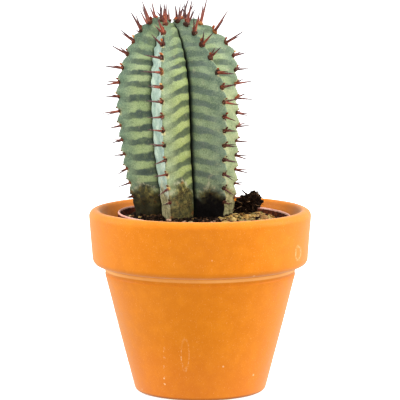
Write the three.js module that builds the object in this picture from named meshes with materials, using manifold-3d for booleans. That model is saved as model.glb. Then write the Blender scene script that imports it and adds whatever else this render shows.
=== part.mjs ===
// A ribbed columnar euphorbia in a thin nursery pot, which stands loose in a terracotta pot.
// Units are millimetres, +Z is up, and the origin is the centre of the terracotta pot's foot.
// Seen from -Y, +X is to the right. Compass angles are in degrees from -Y, positive towards +X.
import * as THREE from "three";
import { ParametricGeometry } from "three/addons/geometries/ParametricGeometry.js";
import { mergeVertices } from "three/addons/utils/BufferGeometryUtils.js";
import Module from "manifold-3d";

const wasm = await Module();
wasm.setup();
const { clamp, degToRad, lerp, smoothstep, smootherstep } = THREE.MathUtils;

// ---- Driving dimensions -------------------------------------------------------------------

const GAP = 0.3; // clearance kept between touching pieces

const POT = {
  height: 107,
  rimRadius: 65, // outside of the rim band, just under the lip
  bandFootRadius: 63.2, // outside of the rim band at its lower edge
  bandFootZ: 74.5, // underside of the rim band
  shoulderRadius: 55.6, // body just under the rim band
  shoulderZ: 70.5,
  neckRadius: 56.5, // where the underside of the rim band begins
  neckZ: 72.9,
  footRadius: 38.8,
  mouthRadius: 58.5, // inner wall just under the lip
  wellRadius: 33.9, // inner wall at the floor
  floor: 9,
  drainRadius: 7,
  lipOuterRound: 4,
  lipInnerRound: 2.5,
  bandRound: 4,
  footRound: 2.6,
  wellRound: 2.5,
  segments: 56,
};

const NURSERY = {
  height: 94,
  rimRadius: 50.5,
  rimDepth: 4.5, // height of the turned-out rim
  neckRadius: 48.9, // outer wall just under the rim
  footRadius: 31.5,
  footBevel: 1,
  rimBevel: 0.6,
  wall: 1.2,
  drainRadius: 4,
  drainCount: 6,
  drainCircle: 20,
  lean: degToRad(1.5), // it leans towards +X in the wider terracotta pot
  segments: 48,
};

const SOIL = {
  edgeZ: 89.5,
  crownZ: 92.8,
  crownRadius: 30, // the soil is level inside this radius and falls away outside it
  innerRing: 24,
  slopeRings: [0.94, 0.84, 0.74], // shares of the edge radius
  segments: 40,
  socketRows: 40, // rows of the stem's skin where the soil closes round it
  dentRoom: 0.5, // room left round each loose piece
  dentRise: 1.2, // and a dent is this much taller than its piece
};

// The stem's crest outline as [radius, height], from its buried end to the sunken growing tip.
const CREST_OUTLINE = [
  [0, 76], [16, 78], [24.5, 85], [28.4, 93], [30.5, 108], [32.7, 128], [34.2, 149],
  [34.1, 169], [32, 184.7], [27.2, 194.5], [19.8, 202], [11.8, 206.3], [5.5, 206], [0, 204.4],
];
// The stem's centre line as [x, height]: it grew a few degrees off upright.
const AXIS_LINE = [
  [-11.2, 76], [-11.8, 98], [-15, 130], [-17.4, 165], [-19.1, 186], [-21.9, 205], [-22.3, 215],
];
const STEM_FOOT_X = AXIS_LINE[1][0]; // where the centre line leaves the soil
// Each rib has the compass angles of its crest and of the groove before it, and the fullness of its
// top, because some ribs stand wider round the growing tip than others.
const RIBS = [
  { crest: -143, grooveBefore: -172.5, dome: 1 },
  { crest: -85, grooveBefore: -114, dome: 0.83 },
  { crest: -15, grooveBefore: -48, dome: 0.9 },
  { crest: 51, grooveBefore: 21.5, dome: 0.74 },
  { crest: 101, grooveBefore: 76, dome: 1.12 },
  { crest: 158, grooveBefore: 129.5, dome: 1.06 },
];
const STEM = {
  valleyShare: 0.6, // radius of a groove's mouth, as a share of the crest's
  faceBulge: 0.035,
  domeFrom: 165, // height at which the ribs begin to differ in fullness
  domeTo: 200,
  tipRadius: 8, // teeth fade away inside this radius round the growing tip
  slitShare: 0.17, // extra depth of the closed slit at the bottom of a groove
  slitWidth: 0.06, // width of the slit, as a share of half a rib
  crestRound: 0.05,
  areoleStart: 4.9, // where areole 0 would lie, measured along a crest from its buried end
  areolePitch: 8.36, // distance between areoles along a crest
  toothHeight: 1.5,
  toothReach: 0.2, // how far down the rib's face a tooth is felt, as a share of the face
  toothFade: 20, // the teeth reach their height this far above the soil
  toothPeak: 0.28, // where each tooth stands highest, as a share of the pitch above its spine
  columnsPerRib: 8,
  rows: 54,
  bisections: 24,
};
const SPINE = {
  firstAreole: 5,
  lastAreole: 19,
  sides: 5,
  sink: 1.6, // how far a spine's foot is set into the crest
  lowLength: 6,
  highLength: 12.5,
  lowRadius: 0.55,
  highRadius: 1.05,
  droop: 0.12, // how far the lowest spines lean down from square to the crest
};

const GRIT = {
  candidates: 66,
  clearOfStem: 35.5,
  clearOfWall: 42.6,
  clearOfClump: 1.75, // in clump radii
  smallest: 1.9,
  spread: 1.5,
  lift: 0.25, // how far a stone's middle stands above the soil, as a share of its size
  longer: 0.3, // a stone is up to this share longer than it is wide
  flattest: 0.6, // least height, as a share of the width
  heightSpread: 0.25,
  roughness: 0.35,
  seed: 11,
};
const BARK = {
  count: 6,
  length: 6.5,
  width: 3.6,
  thickness: 1.3,
  fromStem: 34.4, // distance of each chip from the stem's axis
  firstAngle: -62,
  angleStep: -21,
  sink: 0.2,
  tilt: 0.12,
  leastReach: 0.8, // a corner's distance from the middle, as a share of half the chip
  reachSpread: 0.25,
  seed: 5,
};
const CLUMP = { x: 25.6, y: 12.2, z: 98.7, radii: [8.2, 6.6, 6], tilt: -0.5, roughness: 0.22, seed: 3 };

// ---- Colours and finishes -----------------------------------------------------------------

const material = (color, roughness) => new THREE.MeshStandardMaterial({ color, roughness, metalness: 0 });
const terracotta = material(0xe08a2e, 0.75);
const nurseryPlastic = material(0x8a4a38, 0.45);
const pottingMix = material(0x2a1c14, 0.95);
const stemSkin = material(0x7f9a72, 0.55);
const peat = material(0x1d120c, 1);
const gritStone = material(0xb59a74, 0.85);
const bark = material(0x5a3a26, 0.9);

// ---- Small helpers ------------------------------------------------------------------------

// A repeatable stream of numbers from 0 to 1.
function seededRandom(seed) {
  let state = seed >>> 0;
  return () => {
    state = (state + 0x6d2b79f5) >>> 0;
    let mixed = Math.imul(state ^ (state >>> 15), 1 | state);
    mixed = (mixed + Math.imul(mixed ^ (mixed >>> 7), 61 | mixed)) ^ mixed;
    return ((mixed ^ (mixed >>> 14)) >>> 0) / 4294967296;
  };
}

// Points of a round corner, as [radius, height], between two angles in degrees.
function corner(radius, height, round, fromDegrees, toDegrees, steps = 4) {
  return Array.from({ length: steps + 1 }, (_, i) => {
    const angle = degToRad(lerp(fromDegrees, toDegrees, i / steps));
    return [radius + round * Math.cos(angle), height + round * Math.sin(angle)];
  });
}

// A solid of revolution about +Z from an outline of [radius, height] points.
function turned(outline, segments) {
  const points = outline.map(([radius, height]) => new THREE.Vector2(radius, height));
  return new THREE.LatheGeometry(points, segments).rotateX(Math.PI / 2);
}

// A three.js geometry as a solid that can be joined and cut.
function solid(geometry) {
  const bare = geometry.clone();
  bare.deleteAttribute("normal");
  bare.deleteAttribute("uv");
  const merged = mergeVertices(bare, 1e-3);
  const mesh = new wasm.Mesh({
    numProp: 3,
    vertProperties: merged.attributes.position.array,
    triVerts: new Uint32Array(merged.index.array),
  });
  return new wasm.Manifold(mesh);
}

// A joined or cut solid as a three.js geometry.
function geometryOf(manifold) {
  const { vertProperties, triVerts } = manifold.getMesh();
  const geometry = new THREE.BufferGeometry();
  geometry.setAttribute("position", new THREE.BufferAttribute(new Float32Array(vertProperties), 3));
  geometry.setIndex(new THREE.BufferAttribute(new Uint32Array(triVerts), 1));
  geometry.computeVertexNormals();
  return geometry;
}

function piece(name, geometry, finish) {
  const mesh = new THREE.Mesh(geometry, finish);
  mesh.name = name;
  return mesh;
}

// ---- Terracotta pot -----------------------------------------------------------------------

function terracottaPot() {
  const p = POT;
  const crownRadius = p.rimRadius - p.lipOuterRound;
  const lipInnerZ = p.height - p.lipInnerRound;
  const outline = [
    [p.drainRadius, 0],
    ...corner(p.footRadius - p.footRound, p.footRound, p.footRound, -90, 0, 3),
    [p.shoulderRadius, p.shoulderZ],
    [p.neckRadius, p.neckZ],
    ...corner(p.bandFootRadius - p.bandRound, p.bandFootZ + p.bandRound, p.bandRound, -75, 0),
    ...corner(crownRadius, p.height - p.lipOuterRound, p.lipOuterRound, 0, 90),
    ...corner(p.mouthRadius + p.lipInnerRound, lipInnerZ, p.lipInnerRound, 100, 180, 3),
    ...corner(p.wellRadius - p.wellRound, p.floor + p.wellRound, p.wellRound, 0, -90, 2),
    [p.drainRadius, p.floor],
    [p.drainRadius, 0],
  ];
  return piece("terracotta_pot", turned(outline, p.segments), terracotta);
}

// ---- Nursery pot --------------------------------------------------------------------------

function nurseryPot() {
  const n = NURSERY;
  const underRim = n.height - n.rimDepth;
  const outline = [
    [0, 0],
    [n.footRadius - n.footBevel, 0],
    [n.footRadius, n.footBevel],
    [n.neckRadius, underRim],
    [n.rimRadius, underRim],
    [n.rimRadius, n.height - n.rimBevel],
    [n.rimRadius - n.rimBevel, n.height],
    [n.rimRadius - n.wall, n.height],
    [n.neckRadius - n.wall, underRim - n.wall],
    [n.footRadius - n.wall, n.wall],
    [0, n.wall],
  ];
  let shell = solid(turned(outline, n.segments));
  for (let i = 0; i < n.drainCount; i++) {
    const angle = (2 * Math.PI * i) / n.drainCount;
    const drill = new THREE.CylinderGeometry(n.drainRadius, n.drainRadius, 4 * n.wall, 12)
      .rotateX(Math.PI / 2)
      .translate(n.drainCircle * Math.cos(angle), n.drainCircle * Math.sin(angle), 0);
    shell = shell.subtract(solid(drill));
  }
  return piece("nursery_pot", geometryOf(shell), nurseryPlastic);
}

// ---- Stem ---------------------------------------------------------------------------------

const crestCurve = new THREE.SplineCurve(CREST_OUTLINE.map(([r, z]) => new THREE.Vector2(r, z)));
const axisCurve = new THREE.SplineCurve(AXIS_LINE.map(([x, z]) => new THREE.Vector2(z, x)));
crestCurve.arcLengthDivisions = 400;
const crestLength = crestCurve.getLength();
const lastAxisIndex = AXIS_LINE.length - 1;

// Sideways place of the stem's centre line at a height, read from the axis curve by bisection.
function axisX(height) {
  if (height <= AXIS_LINE[0][1]) return AXIS_LINE[0][0];
  if (height >= AXIS_LINE[lastAxisIndex][1]) return AXIS_LINE[lastAxisIndex][0];
  let low = 0;
  let high = 1;
  for (let i = 0; i < STEM.bisections; i++) {
    const middle = (low + high) / 2;
    if (axisCurve.getPoint(middle).x < height) low = middle;
    else high = middle;
  }
  return axisCurve.getPoint(low).y;
}

// The compass direction of an angle in degrees: 0 is towards -Y and 90 towards +X.
function compass(degrees) {
  const angle = degToRad(degrees);
  return new THREE.Vector2(Math.sin(angle), -Math.cos(angle));
}

// How high the crest's teeth stand at a place along the crest: a quick rise, then a slow fall.
function tooth(areole) {
  const place = areole - Math.floor(areole);
  const rising = smoothstep(place, 0, STEM.toothPeak);
  const falling = 1 - smootherstep(place, STEM.toothPeak, 1);
  return Math.min(rising, falling);
}

// The groove-side slope of a straight rib face that spans the given half angle.
function faceSlope(halfAngle) {
  return (1 / STEM.valleyShare - Math.cos(halfAngle)) / Math.sin(halfAngle);
}

// Distance from the axis, as a share of the crest's, at a share of the way from crest to groove.
function crossSection(share, halfAngle) {
  const rounded = Math.sqrt(share * share + STEM.crestRound ** 2) - STEM.crestRound;
  const angle = rounded * halfAngle;
  const straight = 1 / (Math.cos(angle) + faceSlope(halfAngle) * Math.sin(angle));
  const bulge = STEM.faceBulge * Math.sin(Math.PI * share);
  const slit = STEM.slitShare * Math.exp(-(1 - share) / STEM.slitWidth);
  return straight + bulge - slit;
}

// A point of the stem's skin: side is -1 or 1, share runs from the rib's crest to its groove on
// that side, and along is the place on the crest from the buried end to the growing tip.
function stemPoint(rib, side, share, along, grow, target) {
  const here = RIBS[rib];
  const next = RIBS[(rib + side + RIBS.length) % RIBS.length];
  const groove = side > 0 ? next.grooveBefore : here.grooveBefore;
  const halfTurn = ((groove - here.crest) * side + 720) % 360;
  const crest = crestCurve.getPointAt(along);
  const tangent = crestCurve.getTangentAt(along);
  const normal = new THREE.Vector2(Math.max(tangent.y, 0), Math.max(-tangent.x, 0));
  if (normal.lengthSq() < 1e-6) normal.set(1, 0);
  normal.normalize();
  const above = smoothstep(crest.y, SOIL.crownZ, SOIL.crownZ + STEM.toothFade);
  const areole = (along * crestLength - STEM.areoleStart) / STEM.areolePitch;
  const teeth = STEM.toothHeight * above * tooth(areole);
  const nearTip = Math.min(1, crest.x / STEM.tipRadius);
  const grown = grow * Math.min(1, crest.x);
  const depth = (1 - crossSection(share, degToRad(halfTurn))) * crest.x;
  const offset = grown - depth + teeth * nearTip * Math.exp(-((share / STEM.toothReach) ** 2));
  const height = crest.y + offset * normal.y;
  const dome = lerp(here.dome, (here.dome + next.dome) / 2, share);
  const fullness = lerp(1, dome, smoothstep(height, STEM.domeFrom, STEM.domeTo));
  const radius = Math.max(0, crest.x + offset * normal.x) * fullness;
  const direction = compass(here.crest + side * share * halfTurn);
  const x = axisX(height) + radius * direction.x;
  return target.set(x, radius * direction.y, height);
}

// The skin as one closed surface: u goes round the ribs, v from the buried end to the tip.
function stemSkinGeometry(grow, rows) {
  const columns = RIBS.length * STEM.columnsPerRib;
  const surface = (u, v, target) => {
    const place = ((u * RIBS.length) % RIBS.length) + 1e-9;
    const rib = Math.floor(place);
    const within = place - rib; // 0 and 1 are grooves, 0.5 is the crest
    const side = within < 0.5 ? -1 : 1;
    const step = Math.abs(within - 0.5) * 2;
    const share = 1 - (1 - step) ** 2; // columns crowd together towards the groove
    return stemPoint(rib, side, share, clamp(v, 0, 1), grow, target);
  };
  return new ParametricGeometry(surface, columns, rows);
}

// One spine: a slim cone that stands on the crest, square to it and a little drooping low down.
function spine(rib, areole) {
  const along = (STEM.areoleStart + areole * STEM.areolePitch) / crestLength;
  const tangent = crestCurve.getTangentAt(along);
  const rise = (areole - SPINE.firstAreole) / (SPINE.lastAreole - SPINE.firstAreole);
  const length = lerp(SPINE.lowLength, SPINE.highLength, rise);
  const radius = lerp(SPINE.lowRadius, SPINE.highRadius, rise);
  const out = compass(RIBS[rib].crest);
  const droop = SPINE.droop * (1 - rise);
  const slope = new THREE.Vector2(Math.max(tangent.y, 0), -tangent.x - droop).normalize();
  const direction = new THREE.Vector3(out.x * slope.x, out.y * slope.x, slope.y);
  const foot = stemPoint(rib, 1, 0, along, -SPINE.sink, new THREE.Vector3());
  const upright = new THREE.Quaternion().setFromUnitVectors(new THREE.Vector3(0, 1, 0), direction);
  const whole = length + SPINE.sink;
  return new THREE.ConeGeometry(radius, whole, SPINE.sides)
    .translate(0, whole / 2, 0)
    .applyQuaternion(upright)
    .translate(foot.x, foot.y, foot.z);
}

function euphorbiaStem() {
  let body = solid(stemSkinGeometry(0, STEM.rows));
  for (let rib = 0; rib < RIBS.length; rib++)
    for (let areole = SPINE.firstAreole; areole <= SPINE.lastAreole; areole++)
      body = body.add(solid(spine(rib, areole)));
  return piece("euphorbia_stem", geometryOf(body), stemSkin);
}

// ---- Loose pieces on the soil -------------------------------------------------------------

// Height of the bare soil at a distance from the nursery pot's axis.
function soilHeight(distance) {
  const share = smoothstep(distance, SOIL.crownRadius, NURSERY.neckRadius);
  return lerp(SOIL.crownZ, SOIL.edgeZ, share);
}

// A rough stone: a ball of flat faces whose corners are pushed in and out, then stretched.
function roughBall(base, roughness, stretch, random) {
  const bare = base.clone();
  bare.deleteAttribute("normal");
  bare.deleteAttribute("uv");
  const merged = mergeVertices(bare, 1e-3);
  const position = merged.attributes.position;
  const point = new THREE.Vector3();
  for (let i = 0; i < position.count; i++) {
    point.fromBufferAttribute(position, i).multiplyScalar(1 + roughness * (random() - 0.5));
    point.multiply(stretch);
    position.setXYZ(i, point.x, point.y, point.z);
  }
  return merged;
}

// Grit lies where an even spiral of candidate places is clear of the stem, the wall and the clump.
function gritPieces() {
  const random = seededRandom(GRIT.seed);
  const goldenAngle = Math.PI * (3 - Math.sqrt(5));
  const stones = [];
  for (let i = 0; i < GRIT.candidates; i++) {
    const distance = GRIT.clearOfWall * Math.sqrt((i + 0.5) / GRIT.candidates);
    const x = distance * Math.cos(i * goldenAngle);
    const y = distance * Math.sin(i * goldenAngle);
    const size = GRIT.smallest + GRIT.spread * random();
    const long = 1 + GRIT.longer * random();
    const tall = GRIT.flattest + GRIT.heightSpread * random();
    const stretch = new THREE.Vector3(long, 1, tall).multiplyScalar(size);
    const turn = random() * Math.PI;
    const fromStem = Math.hypot(x - STEM_FOOT_X, y);
    const fromClump = Math.hypot((x - CLUMP.x) / CLUMP.radii[0], (y - CLUMP.y) / CLUMP.radii[1]);
    if (fromStem < GRIT.clearOfStem || fromClump < GRIT.clearOfClump) continue;
    const ball = new THREE.DodecahedronGeometry(1, 0);
    const geometry = roughBall(ball, GRIT.roughness, stretch, random).rotateZ(turn);
    const stone = piece(`grit_${String(stones.length + 1).padStart(2, "0")}`, geometry, gritStone);
    stone.position.set(x, y, soilHeight(distance) + GRIT.lift * size);
    stones.push(stone);
  }
  return stones;
}

// Bark chips lie on the narrow side of the pot, where the stem nearly meets the wall.
function barkChips() {
  const random = seededRandom(BARK.seed);
  const chips = [];
  for (let i = 0; i < BARK.count; i++) {
    const angle = degToRad(BARK.firstAngle + BARK.angleStep * i);
    const sides = 5 + (i % 2);
    const outline = new THREE.Shape();
    for (let k = 0; k < sides; k++) {
      const bend = (2 * Math.PI * k) / sides;
      const reach = BARK.leastReach + BARK.reachSpread * random();
      const point = [0.5 * BARK.length * reach * Math.cos(bend), 0.5 * BARK.width * reach * Math.sin(bend)];
      if (k) outline.lineTo(...point);
      else outline.moveTo(...point);
    }
    const geometry = new THREE.ExtrudeGeometry(outline, { depth: BARK.thickness, bevelEnabled: false });
    const chip = piece(`bark_chip_${i + 1}`, geometry, bark);
    const x = STEM_FOOT_X + BARK.fromStem * Math.sin(angle);
    const y = -BARK.fromStem * Math.cos(angle);
    chip.position.set(x, y, soilHeight(Math.hypot(x, y)) - BARK.sink);
    chip.rotation.set(BARK.tilt * (random() - 0.5), BARK.tilt * (random() - 0.5), angle);
    chips.push(chip);
  }
  return chips;
}

// A crumb of peat as broad as a thumb, tipped up beside the stem.
function peatClump() {
  const random = seededRandom(CLUMP.seed);
  const stretch = new THREE.Vector3(...CLUMP.radii);
  const geometry = roughBall(new THREE.IcosahedronGeometry(1, 2), CLUMP.roughness, stretch, random);
  const clump = piece("peat_clump", geometry, peat);
  clump.position.set(CLUMP.x, CLUMP.y, CLUMP.z);
  clump.rotation.y = CLUMP.tilt;
  return clump;
}

// A loose piece made a little larger, where it lies: what the soil gives way to.
function dent(mesh) {
  mesh.updateMatrix();
  mesh.geometry.computeBoundingSphere();
  const growth = 1 + SOIL.dentRoom / mesh.geometry.boundingSphere.radius;
  const grown = mesh.geometry.clone().scale(growth, growth, growth * SOIL.dentRise);
  return solid(grown.applyMatrix4(mesh.matrix));
}

// ---- Soil ---------------------------------------------------------------------------------

function pottingSoil(loosePieces) {
  const n = NURSERY;
  const clear = n.wall + GAP;
  const wallSlope = (n.neckRadius - n.footRadius) / (n.height - n.rimDepth - n.footBevel);
  const edgeRadius = n.footRadius + wallSlope * (SOIL.edgeZ - n.footBevel) - clear;
  const slope = SOIL.slopeRings.map((share) => [edgeRadius * share, soilHeight(edgeRadius * share)]);
  const outline = [
    [0, clear],
    [n.footRadius - clear, clear],
    [edgeRadius, SOIL.edgeZ],
    ...slope,
    [SOIL.innerRing, SOIL.crownZ],
    [0, SOIL.crownZ],
  ];
  const socket = solid(stemSkinGeometry(GAP, SOIL.socketRows).translate(0, 0, -GAP));
  let soil = solid(turned(outline, SOIL.segments)).subtract(socket);
  for (const mesh of loosePieces) soil = soil.subtract(dent(mesh));
  const main = soil.decompose().sort((a, b) => b.volume() - a.volume())[0];
  return piece("potting_soil", geometryOf(main), pottingMix);
}

// ---- Assembly -----------------------------------------------------------------------------

const leaning = new THREE.Group();
const loosePieces = [peatClump(), ...gritPieces(), ...barkChips()];
leaning.add(nurseryPot(), pottingSoil(loosePieces), euphorbiaStem(), ...loosePieces);
leaning.rotation.y = NURSERY.lean;
leaning.position.z = POT.floor + GAP + NURSERY.footRadius * Math.sin(NURSERY.lean);

const pottedEuphorbia = new THREE.Group();
pottedEuphorbia.add(terracottaPot(), leaning);

export default pottedEuphorbia;
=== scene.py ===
# %% [markdown]
# # A potted euphorbia
#
# A ribbed, banded euphorbia with reddish spines grows in a thin nursery pot, and the nursery pot
# stands loose inside a rimmed terracotta pot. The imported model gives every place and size. This
# lesson builds the looks round it: each piece is a surface worked out with numpy, and each finish
# is a small tree of shader nodes.

import bpy
import numpy as np
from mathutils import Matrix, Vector


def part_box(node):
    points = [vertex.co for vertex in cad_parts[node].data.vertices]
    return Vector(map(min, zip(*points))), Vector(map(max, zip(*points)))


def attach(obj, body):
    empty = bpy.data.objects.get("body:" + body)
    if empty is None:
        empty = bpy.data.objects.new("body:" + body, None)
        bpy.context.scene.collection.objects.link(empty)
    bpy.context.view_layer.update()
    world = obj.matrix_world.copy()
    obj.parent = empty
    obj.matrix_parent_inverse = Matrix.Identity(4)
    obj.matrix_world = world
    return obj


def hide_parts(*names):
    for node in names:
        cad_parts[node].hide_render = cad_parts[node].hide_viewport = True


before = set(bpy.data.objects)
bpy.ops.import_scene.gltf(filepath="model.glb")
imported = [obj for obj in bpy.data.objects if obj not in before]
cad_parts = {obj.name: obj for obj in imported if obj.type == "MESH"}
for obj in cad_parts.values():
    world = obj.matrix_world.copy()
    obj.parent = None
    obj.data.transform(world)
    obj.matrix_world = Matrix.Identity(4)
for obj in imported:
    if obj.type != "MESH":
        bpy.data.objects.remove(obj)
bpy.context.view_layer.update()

# %% [markdown]
# ## From numbers to a mesh
#
# All the shapes here are worked out in millimetres and written into a mesh in metres. Two kinds of
# grid are enough for the whole object. A **stack of rings** with a pole point at each end is a
# closed body: the stem, a spine, a stone. A **turned shell** is a closed outline carried once
# round the vertical axis: a pot with an inside and an outside. Both are plain arrays of points, and
# the faces are the same few index patterns every time.

# %% Helpers that make meshes
MM = 0.001


def put(name, data):
    """One object at the origin that holds the data, linked into the scene."""
    made = bpy.data.objects.new(name, data)
    bpy.context.scene.collection.objects.link(made)
    return made


def piece_of(name, points, faces, marks):
    """A piece on the root body, from points in millimetres and blocks of index rows.

    Each mark is a name and one value for each point, kept in the mesh for the finish to read.
    """
    mesh = bpy.data.meshes.new(name)
    rows = [row for block in faces for row in block.tolist()]
    mesh.from_pydata((points * MM).tolist(), [], rows)
    for mark, values in marks.items():
        mesh.attributes.new(mark, "FLOAT", "POINT").data.foreach_set("value", values.astype(np.float32))
    mesh.shade_smooth()
    made = put(name, mesh)
    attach(made, "root")
    print(f"{name}: {len(points)} points, {len(rows)} faces")
    return made


# %% Stacks of rings, and turned shells
def body_faces(rows, columns):
    """Faces of one stack of rings: square faces between rings, and three-cornered ones round each pole."""
    ring = 1 + np.arange(rows * columns).reshape(rows, columns)
    after = np.roll(ring, -1, axis=1)
    walls = np.stack([ring[:-1], after[:-1], after[1:], ring[1:]], -1).reshape(-1, 4)
    foot = np.stack([np.zeros_like(ring[0]), after[0], ring[0]], -1)
    tip = np.stack([np.full_like(ring[0], rows * columns + 1), ring[-1], after[-1]], -1)
    return walls, np.concatenate([foot, tip])


def bodies_piece(name, rings, poles, marks=None):
    """Closed bodies as one piece: each has a stack of rings and a pole point at either end.

    rings is (bodies, rows, columns, 3) and poles is (bodies, 2, 3). A mark fits the rings' first three
    sizes, and a pole takes the mean of the ring beside it.
    """
    bodies, rows, columns, _ = rings.shape
    points = np.concatenate([poles[:, :1], rings.reshape(bodies, -1, 3), poles[:, 1:]], axis=1)
    walls, ends = body_faces(rows, columns)
    shift = (np.arange(bodies) * points.shape[1])[:, None, None]
    faces = [(walls + shift).reshape(-1, 4), (ends + shift).reshape(-1, 3)]
    spread = {}
    for mark, values in (marks or {}).items():
        values = np.broadcast_to(values, (bodies, rows, columns))
        first, last = values[:, :1].mean(-1), values[:, -1:].mean(-1)
        spread[mark] = np.concatenate([first, values.reshape(bodies, -1), last], 1).ravel()
    return piece_of(name, points.reshape(-1, 3), faces, spread)


def once_round(columns):
    """Angles evenly spaced once round, with the last one a step short of the first."""
    return np.linspace(0, 2 * np.pi, columns, endpoint=False)


def turned_piece(name, outline, columns, shape):
    """A closed outline of (radius, height) rows, carried round the vertical axis, then bent by shape."""
    turn = once_round(columns)
    radius, height = outline[:, :1], outline[:, 1:] + 0 * turn
    points = shape(np.stack([radius * np.cos(turn), radius * np.sin(turn), height], -1))
    index = np.arange(len(outline) * columns).reshape(len(outline), columns)
    up, after = np.roll(index, -1, axis=0), np.roll(index, -1, axis=1)
    faces = np.stack([index, after, np.roll(up, -1, axis=1), up], -1).reshape(-1, 4)
    return piece_of(name, points.reshape(-1, 3), [faces], {})


# %% [markdown]
# ## Smooth steps and smooth roughness
#
# Nature needs a little disorder that is the same at each run. A sum of sine waves in random
# directions, each octave finer and weaker than the last, gives a smooth bumpy field at any point
# in space. It needs no texture and works on whole arrays.


# %% Helpers for blending and roughness
def step(value, low, high):
    """A smooth rise from 0 at low to 1 at high, with level ends; it falls where low is above high."""
    share = np.clip((value - low) / (high - low), 0, 1)
    return share * share * (3 - 2 * share)


def bumps(points, wavelength, seed, octaves=3):
    """Smooth roughness between about -1 and 1: sine waves in random directions, summed over octaves.

    Each octave halves the wavelength and the height, and the seed makes it the same at each run.
    """
    random = np.random.default_rng(seed)
    total = np.zeros(points.shape[:-1])
    for octave in range(octaves):
        waves = random.normal(size=(7, 3))
        waves *= 2 * np.pi * 2**octave / wavelength / np.linalg.norm(waves, axis=1, keepdims=True)
        total += np.sin(points @ waves.T + random.uniform(0, 6.3, 7)).mean(-1) * 1.6 / 2**octave
    return total


def unit(vectors):
    """The same directions, one long."""
    return vectors / np.linalg.norm(vectors, axis=-1, keepdims=True)


def sideways(points):
    """The level direction from the vertical axis to each point, one long past the first millimetre."""
    level = points * [1, 1, 0]
    return level / np.maximum(np.linalg.norm(level, axis=-1, keepdims=True), 1)


# %% [markdown]
# ## A small kit for finishes
#
# A Blender finish is a tree of nodes in front of the Principled shader. Writing each node and link
# by hand is long, so `Finish` keeps it short: `noise`, `ramp`, `mix` and the rest add their nodes
# and give back an output socket, and whatever is handed to them may be a number or another
# socket. Patterns read Object coordinates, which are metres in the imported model's own frame, or the
# marks that were stored in a mesh.


# %% The finish kit
def colour(code):
    """A colour from its usual six-digit code to the linear numbers that shaders work in."""
    parts = np.array([int(code[i : i + 2], 16) for i in (0, 2, 4)]) / 255
    linear = np.where(parts <= 0.04045, parts / 12.92, ((parts + 0.055) / 1.055) ** 2.4)
    return (*linear.tolist(), 1.0)


class Finish:
    """A material in the making. Each method adds nodes and returns an output socket."""

    def __init__(self, name, **sockets):
        self.material = bpy.data.materials.new(name)
        self.material.use_nodes = True
        self.nodes = self.material.node_tree.nodes
        self.shader = self.nodes["Principled BSDF"]
        self.place = self.node("TexCoord").outputs["Object"]
        self.set(self.shader, {key.replace("_", " "): value for key, value in sockets.items()})

    def set(self, node, inputs):
        """Links each input that is given a socket, and writes each other value into it."""
        for key, value in inputs.items():
            if isinstance(value, bpy.types.NodeSocket):
                self.material.node_tree.links.new(value, node.inputs[key])
            else:
                node.inputs[key].default_value = value

    def node(self, kind, inputs=None, **settings):
        """One shader node of a kind, with its settings and inputs."""
        made = self.nodes.new("ShaderNode" + kind)
        for key, value in settings.items():
            setattr(made, key, value)
        self.set(made, inputs or {})
        return made

    def axes(self):
        """The place's x, y and z in metres."""
        return self.node("SeparateXYZ", {0: self.place}).outputs

    def stretched(self, scale):
        """The place, stretched for a pattern that is longer one way than another."""
        return self.node("Mapping", {"Vector": self.place, "Scale": scale}).outputs[0]

    def noise(self, scale, detail=3.0, roughness=0.55, place=None):
        """Cloudy values about 0.5, with so many clouds to the metre."""
        inputs = {"Vector": place or self.place, "Scale": scale, "Detail": detail, "Roughness": roughness}
        return self.node("TexNoise", inputs).outputs["Fac"]

    def cells(self, scale):
        """Distance from the nearest of many scattered points, as a share of their spacing."""
        return self.node("TexVoronoi", {"Vector": self.place, "Scale": scale}).outputs["Distance"]

    def mark(self, name):
        """A point value that was stored in the mesh."""
        return self.node("Attribute", attribute_name=name, attribute_type="GEOMETRY").outputs["Fac"]

    def maths(self, operation, *values):
        """The result of one arithmetic operation on one or two values."""
        return self.node("Math", dict(enumerate(values)), operation=operation).outputs[0]

    def plus(self, a, b):
        """a and b together."""
        return self.maths("ADD", a, b)

    def minus(self, a, b):
        """a less b."""
        return self.maths("SUBTRACT", a, b)

    def times(self, first, *others):
        """The product of all the values."""
        for other in others:
            first = self.maths("MULTIPLY", first, other)
        return first

    def wave(self, turns):
        """A cosine of a value that is counted in whole turns."""
        return self.maths("COSINE", self.times(turns, 2 * np.pi))

    def fit(self, value, low, high, to_low=0.0, to_high=1.0):
        """value between low and high becomes to_low to to_high, with level ends."""
        inputs = {"Value": value, "From Min": low, "From Max": high, "To Min": to_low, "To Max": to_high}
        return self.node("MapRange", inputs, interpolation_type="SMOOTHSTEP").outputs[0]

    def ramp(self, value, *stops):
        """Colours along a value; each stop is (value, colour code)."""
        made = self.node("ValToRGB", {"Fac": value})
        band = made.color_ramp
        while len(band.elements) < len(stops):
            band.elements.new(1.0)
        for element, (at, code) in zip(band.elements, stops):
            element.position, element.color = at, colour(code)
        return made.outputs["Color"]

    def mix(self, share, a, b):
        """Colour a turned towards colour b by a share."""
        made = self.node("Mix", data_type="RGBA")
        for socket, value in zip((0, 6, 7), (share, a, b)):
            self.set(made, {socket: colour(value) if isinstance(value, str) else value})
        return made.outputs[2]

    def bump(self, height, depth_mm, strength=1.0, under=None):
        """Relief from a height of 0 to 1 that stands for depth_mm, on top of any relief under it."""
        inputs = {"Height": height, "Distance": depth_mm * MM, "Strength": strength}
        if under is not None:
            inputs["Normal"] = under
        return self.node("Bump", inputs).outputs[0]

    def done(self, **sockets):
        """The material, with its last sockets filled."""
        self.set(self.shader, {key.replace("_", " "): value for key, value in sockets.items()})
        return self.material


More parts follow.
